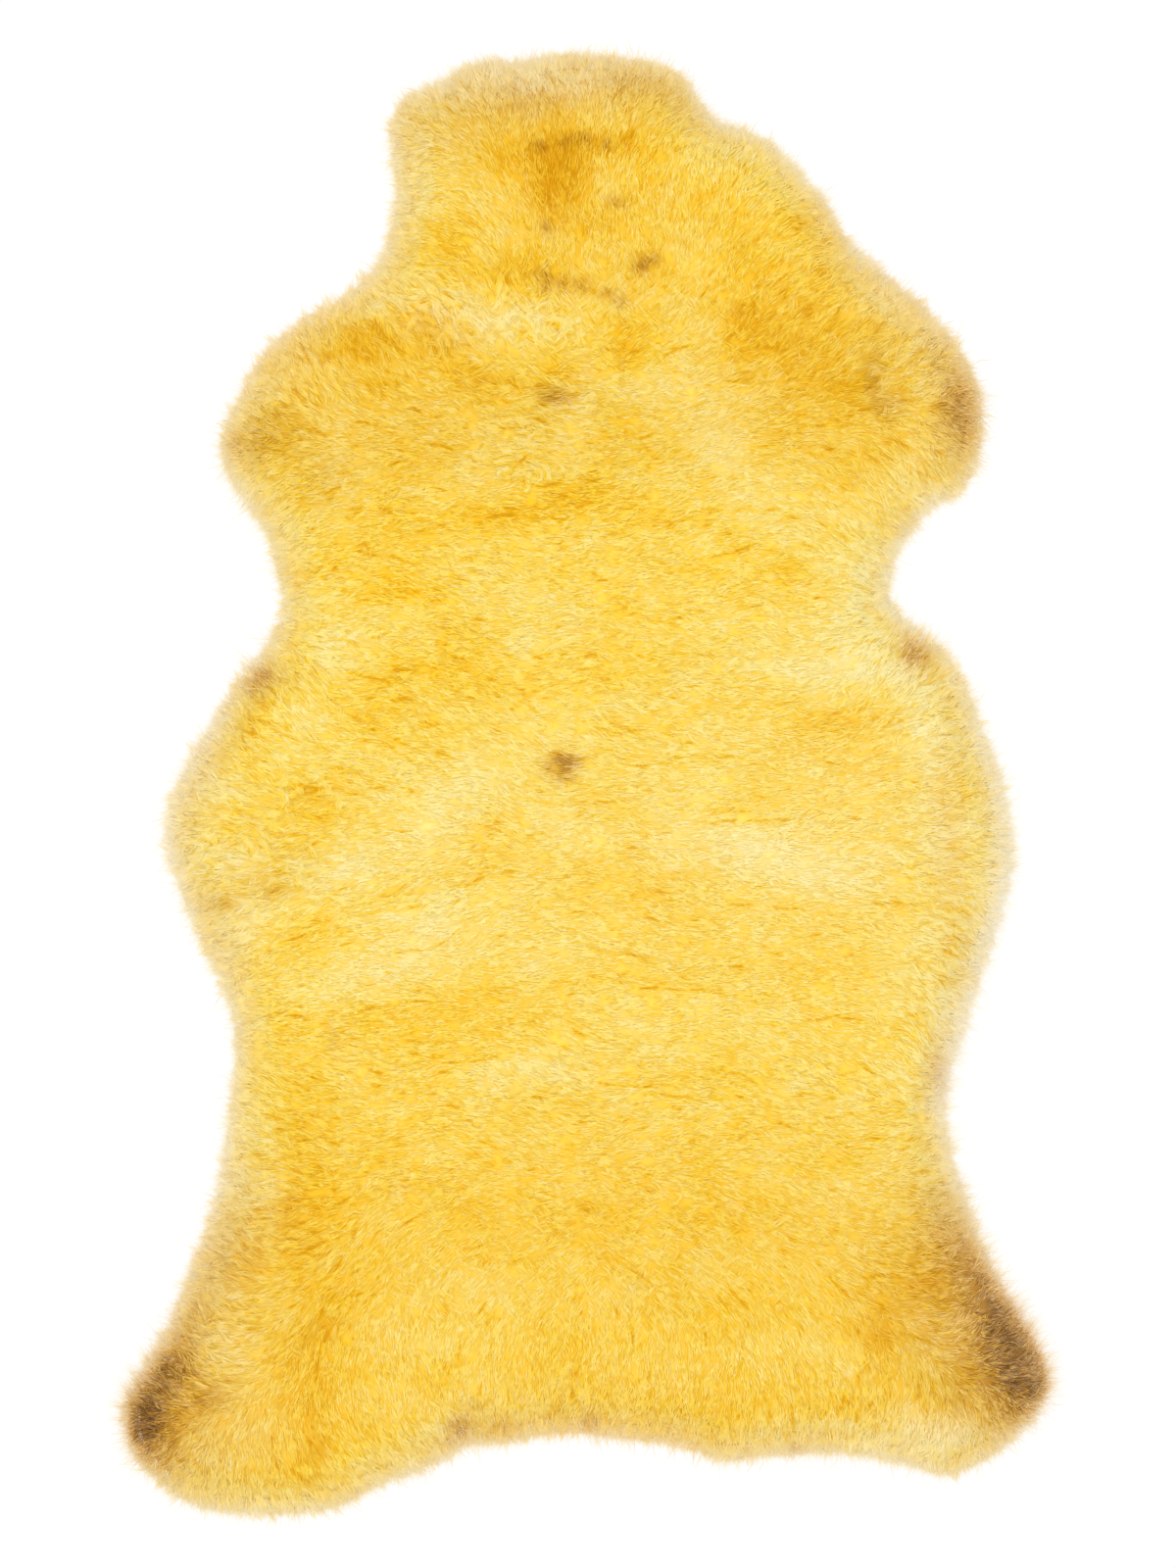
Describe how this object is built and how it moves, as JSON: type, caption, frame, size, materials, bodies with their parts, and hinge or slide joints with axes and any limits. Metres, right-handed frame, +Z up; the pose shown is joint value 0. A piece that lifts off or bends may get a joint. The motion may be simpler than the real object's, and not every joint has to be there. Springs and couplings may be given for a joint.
{
  "type": "medical sheepskin",
  "caption": "Whole natural-shape sheepskin with short golden yellow wool on a tanned skin, lying flat with its fleece up.",
  "frame": {"origin": "middle of the pelt's own box, on the surface that its flesh side lies on", "axes": "+Y along the back towards the neck, +X to the right seen from above with the neck up, +Z up out of the wool"},
  "size_m": [0.6382, 1.0038, 0.0314],
  "materials": {
    "wool": "clipped golden yellow sheep's wool, matt and soft, with brown tips at the feet",
    "skin": "tanned sheep leather, flesh side out, with a fine suede nap"
  },
  "bodies": {
    "root": {"pelt": "wool"}
  },
  "joints": []
}
